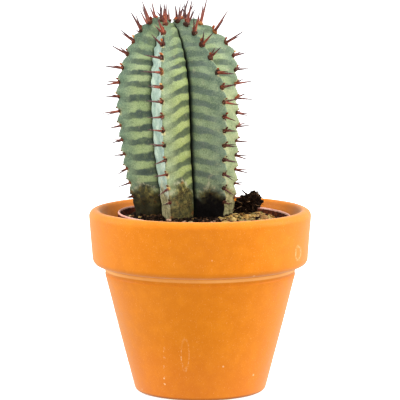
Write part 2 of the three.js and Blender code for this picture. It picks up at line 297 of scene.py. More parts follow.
def dress(made, material, slot):
    """Gives a piece its finish and prints the slot that the finish belongs to."""
    made.data.materials.append(material)
    print(f"{made.name}: finish {material.name}, {len(material.node_tree.nodes)} nodes, slot {slot}")


# %% [markdown]
# ## The terracotta pot
#
# A machine-pressed flower pot is a turned shape: a tapered body, a tall rim band that stands proud
# of it, a full round lip and a drain hole in the floor. It could be a lathe curve with a Screw
# modifier, but here the outline is a list of points with arcs for corners, closed on itself and
# carried round the axis. Points crowd together at the corners, so smooth shading stays true on
# the straight walls.

# %% Outline of the terracotta pot
POT_FLOOR = 9.0


def arc(radius, height, bend, start, end, steps=9):
    """Points of a round corner about (radius, height), between two angles in degrees."""
    angle = np.radians(np.linspace(start, end, steps))
    return np.stack([radius + bend * np.cos(angle), height + bend * np.sin(angle)], -1)


def straight(start, end, steps=12):
    """Points between two outline points, crowded towards both ends, with the ends left out."""
    share = 0.5 - 0.5 * np.cos(np.linspace(0, np.pi, steps + 2)[1:-1])[:, None]
    return np.array(start) + share * (np.array(end) - np.array(start))


def joined(*runs):
    """Runs of outline points with straight walls between each and the next, closed on itself."""
    parts = []
    for run, following in zip(runs, runs[1:] + runs[:1]):
        parts += [run, straight(run[-1], following[0])]
    return np.concatenate(parts)


pot_outline = joined(
    arc(36.2, 2.6, 2.6, -90, -14),
    arc(54.0, 69.0, 1.9, -14, 35, 5),
    arc(57.6, 72.9, 1.2, 190, 130, 4),
    arc(59.2, 78.5, 4.0, -75, -2),
    arc(61.0, 103.0, 4.0, 0, 90, 12),
    arc(61.0, 104.5, 2.5, 100, 180, 8),
    arc(31.4, 11.5, 2.5, 0, -90, 7),
    arc(7.8, 8.2, 0.8, 90, 180, 5),
    arc(7.8, 0.8, 0.8, 180, 270, 5),
)


def hand_pressed(points):
    """Each point moves sideways by 0.16 mm times a slow roughness, as pressed clay does when it dries."""
    return points + sideways(points) * 0.16 * bumps(points, 55, 21, 2)[..., None]


terracotta_pot = turned_piece("terracotta_pot_shell", pot_outline, 220, hand_pressed)
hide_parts("terracotta_pot")

# %% [markdown]
# Fired clay looks even from afar, but it has a cloudy shift between orange and a pinker tone,
# fine speckle from sand in the clay, and a few pale scuffs where something rubbed it. The scuffs
# are drawn as rings and a streak: the distance from an ellipse in the front plane makes a thin
# line, and noise breaks it up. A little sheen gives the dusty, pale look of dry clay at its edges.


# %% Scuffs on the clay
def ring(clay, across, height, half_width, half_height, line):
    """A thin line where the distance from the centre, in half-sizes, is 1; sizes are in millimetres."""
    x, _, z = clay.axes()
    right = clay.maths("DIVIDE", clay.minus(x, across * MM), half_width * MM)
    up = clay.maths("DIVIDE", clay.minus(z, height * MM), half_height * MM)
    distance = clay.maths("SQRT", clay.plus(clay.times(right, right), clay.times(up, up)))
    return clay.fit(clay.maths("ABSOLUTE", clay.minus(distance, 1.0)), line, 0.3 * line)


def scuffs(clay):
    """Strength of the pale marks: the strongest of two broken rings, a streak and a few flecks."""
    x, y, z = clay.axes()
    broken = clay.fit(clay.noise(120, 2, 0.5), 0.4, 0.6, 0.25, 1.0)
    low_ring = clay.times(ring(clay, -8.6, 28.5, 2.3, 9.5, 0.2), broken, 0.4)
    rim_ring = clay.times(ring(clay, 56.4, 85.0, 1.6, 4.0, 0.35), 0.45)
    streak = clay.fit(clay.maths("ABSOLUTE", clay.plus(x, 20.5 * MM)), 0.9 * MM, 0.2 * MM)
    streak = clay.times(streak, clay.fit(z, 0.034, 0.028), clay.fit(clay.noise(330, 2), 0.56, 0.64))
    pale_share = clay.maths("MAXIMUM", clay.maths("MAXIMUM", low_ring, rim_ring), streak)
    worn = clay.fit(clay.noise(700, 3, 0.7), 0.42, 0.62)
    pale_share = clay.times(pale_share, worn, clay.fit(y, -0.01, -0.02))
    return clay.maths("MAXIMUM", pale_share, clay.times(clay.fit(clay.cells(62), 0.055, 0.02), 0.6))


# %% Terracotta finish
def terracotta_finish():
    """Orange clay: clouds, mottle, speckle, scuffs, painted shade at the foot, a painted highlight under
    the band.
    """
    clay = Finish(
        "terracotta_clay", Specular_IOR_Level=0.12, Sheen_Weight=0.38, Sheen_Roughness=0.4,
        Sheen_Tint=(1, 0.84, 0.62, 1),
    )
    height = clay.axes()[2]
    cloud, mottle, speck = clay.noise(16, 2, 0.5), clay.noise(150, 4, 0.6), clay.noise(1900, 2, 0.6)
    base = clay.ramp(cloud, (0.3, "c9720c"), (0.5, "cc7205"), (0.7, "d07605"))
    base = clay.mix(clay.times(clay.fit(height, 0.045, 0.0), 0.45), base, "d6722a")
    base = clay.mix(clay.fit(mottle, 0.35, 0.75, 0.0, 0.2), base, "ee9420")
    base = clay.mix(clay.fit(speck, 0.62, 0.74, 0.0, 0.5), base, "f0b070")
    base = clay.mix(clay.fit(speck, 0.38, 0.27, 0.0, 0.45), base, "b85c18")
    base = clay.mix(scuffs(clay), base, "f6cf9c")
    # Painted shade: the lowest 2 mm turn dark brown, standing for the contact shade where the foot meets
    # the floor.
    base = clay.mix(clay.fit(height, 0.0022, 0.0002, 0.0, 0.75), base, "7c3d12")
    # Painted highlight: a pale line in the crease under the band, standing for light from below on the
    # band's lower edge.
    band_highlight = clay.times(clay.fit(height, 0.0712, 0.072), clay.fit(height, 0.0738, 0.073))
    base = clay.mix(clay.times(band_highlight, clay.fit(cloud, 0.3, 0.6, 0.45, 0.8)), base, "f8b668")
    grain = clay.bump(speck, 0.05, 0.5)
    pressed = clay.bump(clay.noise(90, 3, 0.5, clay.stretched((1, 1, 6))), 0.12, 0.35, grain)
    return clay.done(Base_Color=base, Roughness=clay.fit(mottle, 0.3, 0.7, 0.44, 0.6), Normal=pressed)


dress(terracotta_pot, terracotta_finish(), "terracotta")

# %% [markdown]
# ## The nursery pot
#
# Inside stands a thin brown plastic nursery pot with a turned-out rim, leaning a little in the wider
# clay pot. Everything that grows or lies in it leans with it, so one function, `leaned`, turns and
# lifts any array of points from the nursery pot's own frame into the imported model's.

# %% Lean and outline of the nursery pot
LEAN = np.radians(1.5)
NURSERY_FOOT = 31.5
NURSERY_LIFT = POT_FLOOR + 0.3 + NURSERY_FOOT * np.sin(LEAN)


def leaned(points):
    """Points turned about Y by the lean and lifted, so that the pot stands on the clay pot's floor."""
    x, y, z = np.moveaxis(points, -1, 0)
    across = x * np.cos(LEAN) + z * np.sin(LEAN)
    return np.stack([across, y, z * np.cos(LEAN) - x * np.sin(LEAN) + NURSERY_LIFT], -1)


nursery_outline = joined(
    arc(30.7, 0.8, 0.8, -90, -10, 4),
    arc(49.3, 88.9, 0.5, 170, 110, 4),
    arc(49.9, 90.1, 0.6, -60, 0, 4),
    arc(49.9, 93.4, 0.6, 0, 180, 9),
    arc(47.0, 88.3, 0.7, 0, -20, 4),
    arc(29.5, 1.9, 0.7, -20, -90, 4),
    np.array([[0.4, 1.2], [0.4, 0.0]]),
)


def handled(points):
    """Each point moves sideways by 0.35 mm times a slow roughness, as a soft pot does when handled."""
    unevenness = 0.35 * bumps(points * [1, 1, 0.3], 60, 8, 1)
    return leaned(points + sideways(points) * unevenness[..., None])


nursery_pot = turned_piece("nursery_pot_shell", nursery_outline, 180, handled)
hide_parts("nursery_pot")

# %% [markdown]
# The plastic is a dull, dark reddish brown clouded by noise, with a pinkish white rim. Height tells the
# rim from the wall, so the finish reads Z, with the lean taken out: a point to the right of the axis
# stands lower than it would in an upright pot.


# %% Nursery plastic finish
def nursery_finish():
    """Dark brown clouded by noise, and a pale rim above a level that follows the pot's lean."""
    plastic = Finish("nursery_plastic", Specular_IOR_Level=0.05)
    x, _, z = plastic.axes()
    level = plastic.plus(plastic.times(x, float(np.tan(LEAN))), z)
    plastic_clouds = plastic.noise(420, 4, 0.65)
    base = plastic.ramp(plastic_clouds, (0.35, "2c1108"), (0.55, "5a2612"), (0.75, "88462c"))
    pale_share = plastic.fit(plastic.plus(plastic.times(plastic_clouds, 0.0008), level), 0.1034, 0.104)
    base = plastic.mix(pale_share, base, plastic.ramp(plastic_clouds, (0.3, "c88874"), (0.6, "e8b8a6")))
    rough = plastic.fit(plastic_clouds, 0.3, 0.7, 0.6, 0.85)
    return plastic.done(Base_Color=base, Roughness=rough, Normal=plastic.bump(plastic_clouds, 0.08, 0.6))


dress(nursery_pot, nursery_finish(), "nursery_plastic")

# %% [markdown]
# ## The stem: one outline, six ribs
#
# The plant is one fleshy column. Seen from above it is a six-pointed star with nearly straight
# sides, pinched into a closed slit at the bottom of each groove. Seen from the side, each crest
# follows one outline from below the soil to the sunken growing tip. A sculpt or a simple extrusion
# would lose that order. Here a point of the skin is a function of two numbers: the share of the way
# from crest to groove, and the distance walked along the crest. The outline is rows of radius and
# height, and the centre line is rows of height and the shift to the right.

# %% Stem outline and centre line
CREST_OUTLINE = np.array([
    [0, 76], [16, 78], [24.5, 85], [28.4, 93], [30.5, 108], [32.7, 128], [34.2, 149],
    [34.1, 169], [32, 184.7], [27.2, 194.5], [19.8, 202], [11.8, 206.3], [5.5, 206], [0, 204.4],
], float)
AXIS_LINE = np.array([
    [76, -11.2], [98, -11.8], [130, -15], [165, -17.4], [186, -19.1], [205, -21.9], [215, -22.3],
], float)
RIB_ANGLES = np.array([-143.0, -85.0, -15.0, 51.0, 101.0, 158.0])
GROOVES_BEFORE = np.array([-172.5, -114.0, -48.0, 21.5, 76.0, 129.5])
DOMES = np.array([1.0, 0.83, 0.9, 0.74, 1.12, 1.06])
AREOLE_START = 4.9
AREOLE_PITCH = 8.36
SOIL_CROWN = 92.8
DOME_START, DOME_FULL = 165, 200


def flowing(knots, samples=6000):
    """A smooth curve through the knots: cubics whose slope at a knot is that of the line past it."""
    place = np.linspace(0, len(knots) - 1, samples)
    first = np.minimum(place.astype(int), len(knots) - 2)
    t = (place - first)[:, None]
    before, start = knots[np.maximum(first - 1, 0)], knots[first]
    end, after = knots[first + 1], knots[np.minimum(first + 2, len(knots) - 1)]
    leave, arrive = (end - before) / 2, (after - start) / 2
    cubic = (2 * start - 2 * end + leave + arrive) * t**3
    return cubic + (-3 * start + 3 * end - 2 * leave - arrive) * t**2 + leave * t + start


crest_line = flowing(CREST_OUTLINE)
axis_line = flowing(AXIS_LINE)
walked = np.concatenate([[0], np.cumsum(np.hypot(*np.diff(crest_line, axis=0).T))])
crest_length = walked[-1]
crest_slope = np.gradient(crest_line, walked, axis=0)
print(f"crest is {crest_length:.1f} mm long and holds {crest_length / AREOLE_PITCH:.1f} areoles")


def areole_at(walk):
    """Number of areoles passed at a distance walked along the crest: a whole number at each spine."""
    return (walk - AREOLE_START) / AREOLE_PITCH


# %% [markdown]
# Each crest is cut into teeth. A tooth rises quickly just above a spine and falls away slowly up to
# the next one. Across a rib, the straight face runs from the crest to the groove's mouth, with a
# faint bulge, a softened crest, and a deep narrow slit where two ribs press together.

# %% Teeth, domes and the cross-section
VALLEY_SHARE = 0.6
FACE_BULGE = 0.035
SLIT_SHARE = 0.17
SLIT_WIDTH = 0.05
CREST_ROUND = 0.04
TOOTH_HEIGHT = 1.7
TOOTH_PEAK = 0.26
TOOTH_REACH = 0.17
TEETH_FADE = 20
TIP_FADE = 8
FOLD_LOW, FOLD_MORE = 0.5, 0.7
FOLD_FULL = 190
FOLD_DROOP = 0.55
FOLD_PHASE = 0.3


def tooth(areole):
    """Height of the crest's teeth from 0 to 1: a quick rise above each spine, then a slow fall."""
    place = areole % 1
    fall = np.clip((place - TOOTH_PEAK) / (1 - TOOTH_PEAK), 0, 1)
    return np.minimum(step(place, 0, TOOTH_PEAK), 1 - fall**3 * (fall * (fall * 6 - 15) + 10))


def half_turns(rib, side):
    """Angle in degrees from a rib's crest to the groove on that side."""
    groove = np.where(side > 0, GROOVES_BEFORE[(rib + 1) % len(RIB_ANGLES)], GROOVES_BEFORE[rib])
    return (groove - RIB_ANGLES[rib]) * side % 360


def fullness(rib, side, share, height):
    """How wide the top stands: a rib's own dome value at its crest, and the two ribs' mean at a groove."""
    here, there = DOMES[rib], DOMES[(rib + side) % len(RIB_ANGLES)]
    dome = here + (there - here) / 2 * share
    return 1 + (dome - 1) * step(height, DOME_START, DOME_FULL)


def cross_section(share, half_turn):
    """Distance from the axis, as a share of the crest's: a straight rib face with a slit at its groove.

    A straight line seen from the axis is 1 / (cos + slope * sin) of the angle from the crest. A sine
    adds the bulge, and an exponential fall beside the groove takes the slit away.
    """
    half = np.radians(half_turn)
    angle = (np.sqrt(share**2 + CREST_ROUND**2) - CREST_ROUND) * half
    slope = (1 / VALLEY_SHARE - np.cos(half)) / np.sin(half)
    line = 1 / (np.cos(angle) + slope * np.sin(angle))
    slit = SLIT_SHARE * np.exp(-(1 - share) / SLIT_WIDTH)
    return line + FACE_BULGE * np.sin(np.pi * share) - slit


# %% [markdown]
# The two numbers now become a point: out from the centre line by the outline's radius, in by the
# depth of the cross-section, and out again by teeth and by shallow folds, which run down from each
# spine and are strongest on the dome.


# %% A point of the stem's skin
def crest_frame(walk):
    """Crest radius, crest height and the outward direction at a distance walked along the crest."""
    radius = np.interp(walk, walked, crest_line[:, 0])
    height = np.interp(walk, walked, crest_line[:, 1])
    rise = np.interp(walk, walked, crest_slope[:, 1])
    run = np.interp(walk, walked, crest_slope[:, 0])
    outward = np.stack([np.maximum(rise, 1e-3), np.maximum(-run, 0)], -1)
    return radius, height, outward / np.linalg.norm(outward, axis=-1, keepdims=True)


def stem_skin(rib, side, share, walk, lift=0.0):
    """Points of the skin in the nursery pot's frame, moved outwards by lift.

    The crest's point is pulled in by the cross-section's depth and pushed out by teeth and by folds,
    which are a cosine of the areole number that droops towards the crest. It is then turned about
    the centre line by the share of the way to the groove.
    """
    radius, height, outward = crest_frame(walk)
    half_turn = half_turns(rib, side)
    areole = areole_at(walk)
    near_tip = np.minimum(1, radius / TIP_FADE)
    above = near_tip * step(height, SOIL_CROWN, SOIL_CROWN + TEETH_FADE)
    teeth = TOOTH_HEIGHT * above * tooth(areole + 0 * share) * np.exp(-((share / TOOTH_REACH) ** 2))
    drooped = areole + FOLD_DROOP * (1 - share) ** 1.6 - FOLD_PHASE
    fold_depth = above * (FOLD_LOW + FOLD_MORE * step(height, DOME_START, FOLD_FULL))
    folds = fold_depth * np.cos(2 * np.pi * drooped) * share * np.sin(np.pi * share) ** 0.4
    depth = (1 - cross_section(share, half_turn)) * radius
    offset = lift * np.minimum(1, radius) - depth + teeth + folds
    angle = np.radians(RIB_ANGLES[rib] + side * share * half_turn)
    up = height + offset * outward[..., 1]
    out = np.maximum(0, radius + offset * outward[..., 0]) * fullness(rib, side, share, up)
    across = np.interp(up, axis_line[:, 0], axis_line[:, 1])
    return np.stack([across + out * np.sin(angle), -out * np.cos(angle), up], -1)


# %% [markdown]
# The grid has 70 columns for each rib, crowded towards crest and groove, and 208 rings from the
# buried end to the tip. Small lumps from `bumps` keep the faces from looking machined, and they grow
# towards the corky foot. Cork climbs highest in the middle of a face, where its edge makes a peak.

# %% The stem's grid
COLUMNS_PER_RIB = 70
STEM_ROWS = 208
CORK_TOP, CORK_FULL = 124, 99

within = (np.arange(len(RIB_ANGLES) * COLUMNS_PER_RIB) + 0.5) / COLUMNS_PER_RIB
rib = within.astype(int)[None, :]
side = np.where(within % 1 < 0.5, -1, 1)[None, :]
nearness = np.abs(within % 1 - 0.5)[None, :] * 2
share = 0.45 * nearness + 0.55 * step(nearness, 0, 1)
walk = (np.linspace(0.004, 0.996, STEM_ROWS) * crest_length)[:, None]
skin = stem_skin(rib, side, share, walk)
shift = np.interp(skin[..., 2], axis_line[:, 0], axis_line[:, 1])
from_middle = skin[..., :2] - np.stack([shift, 0 * shift], -1)
distance = np.linalg.norm(from_middle, axis=-1)
corky = step(skin[..., 2] + 4 * bumps(skin, 19, 4) + 24 * np.abs(share - 0.42), CORK_TOP, CORK_FULL)
lumps = (0.22 * bumps(skin, 17, 2) + corky * 0.55 * bumps(skin, 7, 3)) * np.minimum(1, distance / 10)
skin[..., :2] += from_middle * (lumps / np.maximum(distance, 1e-6))[..., None]
print(f"skin: {skin.shape[0]} rings of {skin.shape[1]} points, lumps up to {np.abs(lumps).max():.2f} mm")

# %% [markdown]
# Ten marks are stored with each point, and the finish reads them. Four say where the point lies:
# `groove` is 0 at a crest and 1 in a groove, `areole` counts areoles up the crest, `upward` is the share
# of the crest walked, and `band` is the areole count again, bent as the dark bands droop. The other six
# say how strong a look is there: cork; bluish bloom and cream, both partly painted light that makes the
# faces turned to the side lamps paler; lime; deep green, partly painted shade; and painted shade at the
# foot. The two faces of a rib get different amounts of each, so each of the other five looks has a table
# with a row for each rib and a column for each of its two sides.

# %% Marks on the stem
DROOP = [[0.5, 0.5], [0.5, 0.3], [0.4, 0.85], [0.45, 0.5], [0.4, 0.5], [0.5, 0.5]]
# Painted light: bloom and cream are high on the faces that the side lamps light most, and make them paler.
BLOOM_AND_LIGHT = [[0.1, 0.1], [0.1, 0.06], [1.0, 0.0], [0.22, 0.1], [0.1, 0.1], [0.1, 0.1]]
CREAM_AND_LIGHT = [[0.1, 0.1], [0.1, 0.0], [0.1, 0.3], [0.0, 0.9], [1.0, 0.2], [0.2, 0.1]]
LIME = [[0.3, 0.3], [0.3, 0.3], [0.2, 1.0], [0.65, 0.4], [0.5, 0.3], [0.3, 0.3]]
# Partly painted shade: deep green is strongest on the face of rib 3 that gets least light.
DEEP_GREEN_AND_SHADE = [[0.3, 0.3], [0.3, 0.12], [0.0, 0.1], [1.0, 0.2], [0.3, 0.3], [0.3, 0.3]]
# Painted shade: this table darkens the foot of the stem, most of all on rib 3 beside the slits and the
# peat crumb.
FOOT_SHADE = [[0.5, 0.5], [0.5, 0.5], [0.06, 0.22], [1.0, 0.9], [0.1, 0.3], [0.5, 0.5]]
CREAM_AND_LIGHT_TOPS = np.array([180, 180, 180, 203, 180, 180])


def by_face(table):
    """The table's value for each column of the grid, from its rib and side."""
    return np.array(table)[rib, (side + 1) // 2]


height = skin[..., 2]
droop = by_face(DROOP) * (1 - share) ** 1.7 * (1 + 1.2 * step(height, 172, 198))
stem_marks = {
    "groove": share,
    "areole": areole_at(walk),
    "upward": walk / crest_length,
    "band": areole_at(walk) + droop + 0.11 * bumps(skin, 26, 6, 2) + 0.05 * bumps(skin, 8, 7, 2),
    "corky": corky,
    "bloom_and_light": by_face(BLOOM_AND_LIGHT),
    "cream_and_light": by_face(CREAM_AND_LIGHT) * (0.2 + 0.8 * step(height, CREAM_AND_LIGHT_TOPS[rib], CREAM_AND_LIGHT_TOPS[rib] - 22)),
    "lime": by_face(LIME) * step(height, 208, 150),
    # Painted shade: the dome turns deep green as well.
    "deep_green_and_shade": np.maximum(by_face(DEEP_GREEN_AND_SHADE), 0.55 * step(height + 5 * bumps(skin, 30, 9), 178, 200)),
    "foot_shade": by_face(FOOT_SHADE) * step(height + 4 * bumps(skin, 8, 5), 115, 97),
}
poles = leaned(stem_skin(np.zeros(2, int), 1, np.zeros(2), np.array([0, crest_length])))
stem = bodies_piece("euphorbia_flesh", leaned(skin)[None], poles[None], stem_marks)
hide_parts("euphorbia_stem")

# %% [markdown]
# The skin is the showpiece. Dark green bands cross each face, one for each areole: level and
# strong beside the groove, drooping and fading towards the crest. A cosine of the stored `band`
# makes them, with a ripple at twice the pace that splits some of them near the crest. Noise frays
# their edges, and the other marks fade them.


# %% Dark bands
def band_share(flesh, fray, blotch):
    """How far each point turns dark green: the frayed wave of bands, times what each mark leaves of it."""
    groove = flesh.mark("groove")
    frayed = flesh.plus(flesh.mark("band"), flesh.times(flesh.minus(fray, 0.5), 0.3))
    turns = flesh.plus(frayed, flesh.times(flesh.minus(blotch, 0.5), 0.22))
    ripple = flesh.times(flesh.wave(flesh.times(turns, 2.0)), flesh.fit(groove, 0.75, 0.3, 0.0, 0.4))
    return flesh.times(
        flesh.fit(flesh.plus(flesh.wave(turns), ripple), -0.6, 0.45),
        flesh.fit(groove, 0.04, 0.36, 0.15, 1.0),
        flesh.fit(flesh.mark("upward"), 0.92, 0.74, 0.6, 1.0),
        flesh.fit(blotch, 0.3, 0.55, 0.7, 1.0),
        flesh.fit(flesh.mark("cream_and_light"), 0.0, 1.0, 1.0, 0.25),
        flesh.fit(flesh.mark("deep_green_and_shade"), 0.0, 1.0, 1.0, 0.9),
    )


# %% [markdown]
# The colour is laid on as a painter would: first the living greens, with cream as partly painted light and
# deep green as partly painted shade, then the bands, the bluish bloom, which is partly painted light too,
# fine specks and the pale horny line of the crest. Over that come cork, paler as painted light on lit
# faces, with a pale scar along its edge, painted shade at the foot, and the painted shade in the slits.


# %% Living skin
def skin_colour(flesh, dark, fray, blotch, fine):
    """Greens from crest to groove, turned by each mark's share towards that mark's own colour."""
    groove, cream_and_light, lime = flesh.mark("groove"), flesh.mark("cream_and_light"), flesh.mark("lime")
    soft = flesh.noise(62, 3, 0.5)
    by_groove = flesh.ramp(soft, (0.3, "788a5c"), (0.5, "869668"), (0.7, "95a276"))
    by_groove = flesh.mix(lime, by_groove, flesh.ramp(soft, (0.3, "7c8b44"), (0.6, "919d56")))
    by_crest = flesh.ramp(blotch, (0.32, "3a5146"), (0.5, "506a57"), (0.68, "728869"))
    by_crest = flesh.mix(flesh.times(lime, 0.7), by_crest, "84916b")
    base = flesh.mix(flesh.fit(groove, 0.04, 0.5), by_crest, by_groove)
    creamy = flesh.ramp(blotch, (0.35, "8f9c6a"), (0.65, "b5b682"))
    # Painted light in part: the creamy colour is strongest on the faces that the side lamps light most.
    base = flesh.mix(flesh.times(cream_and_light, 0.75), base, creamy)
    # Painted shade in part: a dark green where the deep green mark is high.
    deep_shade_green = flesh.ramp(blotch, (0.35, "384a34"), (0.65, "64754a"))
    base = flesh.mix(flesh.times(flesh.mark("deep_green_and_shade"), 0.6), base, deep_shade_green)
    base = flesh.mix(dark, base, flesh.ramp(fray, (0.3, "273530"), (0.7, "3e4c3c")))
    cloudy = flesh.times(flesh.fit(blotch, 0.48, 0.64), flesh.fit(flesh.mark("upward"), 0.68, 0.84), 0.5)
    base = flesh.mix(cloudy, base, "4a6050")
    # The bluish bloom is partly painted light, strongest on the face that the left lamp lights.
    bluish = flesh.ramp(blotch, (0.35, "7d958b"), (0.5, "9ab0a4"), (0.65, "b6c5b6"))
    base = flesh.mix(flesh.times(flesh.mark("bloom_and_light"), 0.86), base, bluish)
    pale_specks = flesh.times(flesh.fit(fine, 0.53, 0.7), flesh.fit(dark, 0.0, 1.0, 0.4, 0.12))
    base = flesh.mix(pale_specks, base, "b9c292")
    base = flesh.mix(flesh.fit(fine, 0.47, 0.32, 0.0, 0.5), base, "33422d")
    near_spine = flesh.fit(flesh.wave(flesh.mark("areole")), -0.7, 0.7)
    horn = flesh.times(flesh.fit(groove, 0.09, 0.02), near_spine, flesh.fit(fray, 0.42, 0.58), 0.8)
    return flesh.mix(horn, base, "d8c98e")


# %% Weathered foot
def weathered_and_shaded(flesh, base, grit):
    """The skin under cork where `corky` is high, paler as painted light on lit faces; painted shade at
    foot and slits.
    """
    dull = flesh.ramp(grit, (0.34, "120d07"), (0.46, "342b16"), (0.56, "5e5226"), (0.68, "a09455"))
    bright = flesh.ramp(grit, (0.34, "423c26"), (0.5, "7f774f"), (0.66, "b8ae82"))
    # Painted light: cork is paler on the lit faces, where bloom and cream are high.
    lit_pale_face = flesh.maths("MAXIMUM", flesh.mark("cream_and_light"), flesh.mark("bloom_and_light"))
    cork = flesh.mix(flesh.fit(lit_pale_face, 0.2, 0.95), dull, bright)
    cork = flesh.mix(flesh.fit(flesh.noise(210, 3, 0.6), 0.6, 0.7, 0.0, 0.7), cork, "8a4f26")
    uneven = flesh.times(flesh.noise(190, 5, 0.7), 0.9)
    patch = flesh.fit(flesh.plus(flesh.mark("corky"), uneven), 0.45, 1.1)
    base = flesh.mix(flesh.times(patch, 0.92), base, cork)
    edge = flesh.times(flesh.fit(patch, 0.04, 0.25), flesh.fit(patch, 0.75, 0.35))
    base = flesh.mix(flesh.times(edge, flesh.fit(grit, 0.42, 0.6, 0.0, 0.6)), base, "a8a88a")
    # Painted shade: the foot turns nearly black where its shade mark is high, broken up by the grit noise.
    foot_shaded = flesh.plus(flesh.mark("foot_shade"), flesh.times(flesh.minus(grit, 0.5), 1.2))
    base = flesh.mix(flesh.fit(foot_shaded, 0.1, 0.75), base, "060302")
    return flesh.mix(flesh.fit(flesh.mark("groove"), 0.86, 0.985), base, "0d140c")


# %% Stem finish
def stem_finish():
    """Bands, skin, cork and painted light and shade in one material, relief from fine, frayed and gritty
    noise.
    """
    flesh = Finish("banded_flesh", Specular_IOR_Level=0.18)
    fray, blotch = flesh.noise(230, 5, 0.62), flesh.noise(150, 4, 0.6)
    fine, grit = flesh.noise(1500, 3, 0.65), flesh.noise(420, 5, 0.75)
    dark = band_share(flesh, fray, blotch)
    base = weathered_and_shaded(flesh, skin_colour(flesh, dark, fray, blotch, fine), grit)
    relief = flesh.bump(fray, 0.3, 0.4, flesh.bump(fine, 0.06, 0.5))
    relief = flesh.bump(grit, 0.9, flesh.fit(flesh.mark("corky"), 0.1, 0.8), relief)
    rough = flesh.fit(flesh.mark("corky"), 0.0, 0.7, 0.5, 1.0)
    return flesh.done(Base_Color=base, Roughness=rough, Normal=relief)


dress(stem, stem_finish(), "stem_skin")

# %% [markdown]
# ## Spines and buds
#
# A spine is a slim cone with a swollen foot and a slight bend. Each areole carries one long
# spine and one to three shorter ones beside it, but only one near the top. Their directions follow
# the crest: upright on the dome, level at the waist, a little drooping near the soil. All the spines
# are worked out at once: a profile of rings carried along every spine's own path.

# %% Spine places and directions
SPINE_ROWS = 6
SPINE_COLUMNS = 6
FIRST_AREOLE = 5
LAST_AREOLE = 18
SPINE_SUNK = 0.9
BLUISH_RIB = 2
DARK_RIB = 3
draw = np.random.default_rng(17)

areoles = np.arange(FIRST_AREOLE, LAST_AREOLE + 2)
spine_rib, spine_areole = (grid.ravel() for grid in np.meshgrid(np.arange(len(RIB_ANGLES)), areoles))
spine_walk = AREOLE_START + spine_areole * AREOLE_PITCH
spine_rise = np.clip((spine_areole - FIRST_AREOLE) / (LAST_AREOLE - FIRST_AREOLE), 0, 1)
main_count = len(spine_rib)


def outward_of(ribs, walks, rises):
    """Main direction of a spine: square to the crest, a little lower near the soil."""
    run = np.interp(walks, walked, crest_slope[:, 0])
    rise = np.interp(walks, walked, crest_slope[:, 1])
    slope = unit(np.stack([np.maximum(rise, 0.02), -run - 0.12 * (1 - rises)], -1))
    angle = np.radians(RIB_ANGLES[ribs])
    return np.stack([np.sin(angle) * slope[:, 0], -np.cos(angle) * slope[:, 0], slope[:, 1]], -1)


def beside(ribs):
    """Level direction along the rib's side, for spines that lean out of the crest's plane."""
    angle = np.radians(RIB_ANGLES[ribs])
    return np.stack([np.cos(angle), np.sin(angle), 0 * angle], -1)


def square_to(directions):
    """Two directions square to each given one and to each other."""
    right = unit(np.cross(directions, [0.31, 0.22, 0.92]))
    return right, np.cross(directions, right)


# %% Cones along bent paths, and the long spines
def cones(feet, directions, lengths, radii, bends):
    """Rings, poles and the rings' shares t of the way for slim cones.

    The radius falls as (1 - t) to the power 0.65 and swells at the foot. Each path is straight, plus
    a sideways bend that grows as t squared.
    """
    t = np.linspace(0, 0.97, SPINE_ROWS) ** 1.15
    spin = once_round(SPINE_COLUMNS)
    right, up = square_to(directions)
    path = feet[:, None] + directions[:, None] * (lengths[:, None] * t)[..., None]
    path = path + bends[:, None] * (lengths[:, None] * t**2)[..., None]
    radius = radii[:, None] * ((1 - t) ** 0.65 + 0.3 * np.exp(-t / 0.08))
    around = right[:, None, None] * np.cos(spin)[:, None] + up[:, None, None] * np.sin(spin)[:, None]
    rings = path[:, :, None] + around * radius[:, :, None, None]
    tips = feet + directions * lengths[:, None] + bends * lengths[:, None]
    return rings, np.stack([feet - directions * 0.4, tips], 1), t


main_lean = np.where(spine_rib == BLUISH_RIB, -0.75, 0.1) * step(spine_rise, 1.0, 0.75)
main_lift = np.array([0, 0, 0.5]) * step(spine_rise, 0.8, 1.0)[:, None]
main_dir = outward_of(spine_rib, spine_walk, spine_rise) + beside(spine_rib) * main_lean[:, None]
main_dir = unit(main_dir + main_lift + 0.13 * draw.normal(size=(main_count, 3)))
main_length = (7.0 + 6.6 * spine_rise**0.6) * draw.uniform(0.72, 1.12, main_count)
main_length += 2.5 * step(spine_rise, 0.75, 1.0)
main_length[spine_areole > LAST_AREOLE] = 10.5
main_radius = 0.66 + 0.3 * spine_rise
spine_foot = stem_skin(spine_rib, 1, np.zeros(main_count), spine_walk, -SPINE_SUNK)
print(f"{main_count} long spines, {main_length.min():.1f} to {main_length.max():.1f} mm")

# %% The shorter spines, and all of them as one piece
twin_count = draw.choice([1, 2, 3], main_count, p=[0.15, 0.45, 0.4])
twin_count = np.where(spine_rise > 0.85, 1, twin_count)
twin = np.repeat(np.arange(main_count), twin_count)
first_twin = np.diff(twin, prepend=-1) > 0
twin_side = draw.choice([-1.0, 1.0], len(twin)) * draw.uniform(0.3, 0.8, len(twin))
twin_up = np.array([0, 0, 1.0]) * draw.uniform(-0.2, 0.5, (len(twin), 1))
twin_dir = unit(main_dir[twin] + beside(spine_rib[twin]) * twin_side[:, None] + twin_up)
second_best, stubs = draw.uniform(0.6, 0.95, len(twin)), draw.uniform(0.22, 0.5, len(twin))
twin_length = main_length[twin] * np.where(first_twin, second_best, stubs)
twin_radius = main_radius[twin] * np.where(first_twin, 0.88, 0.7)

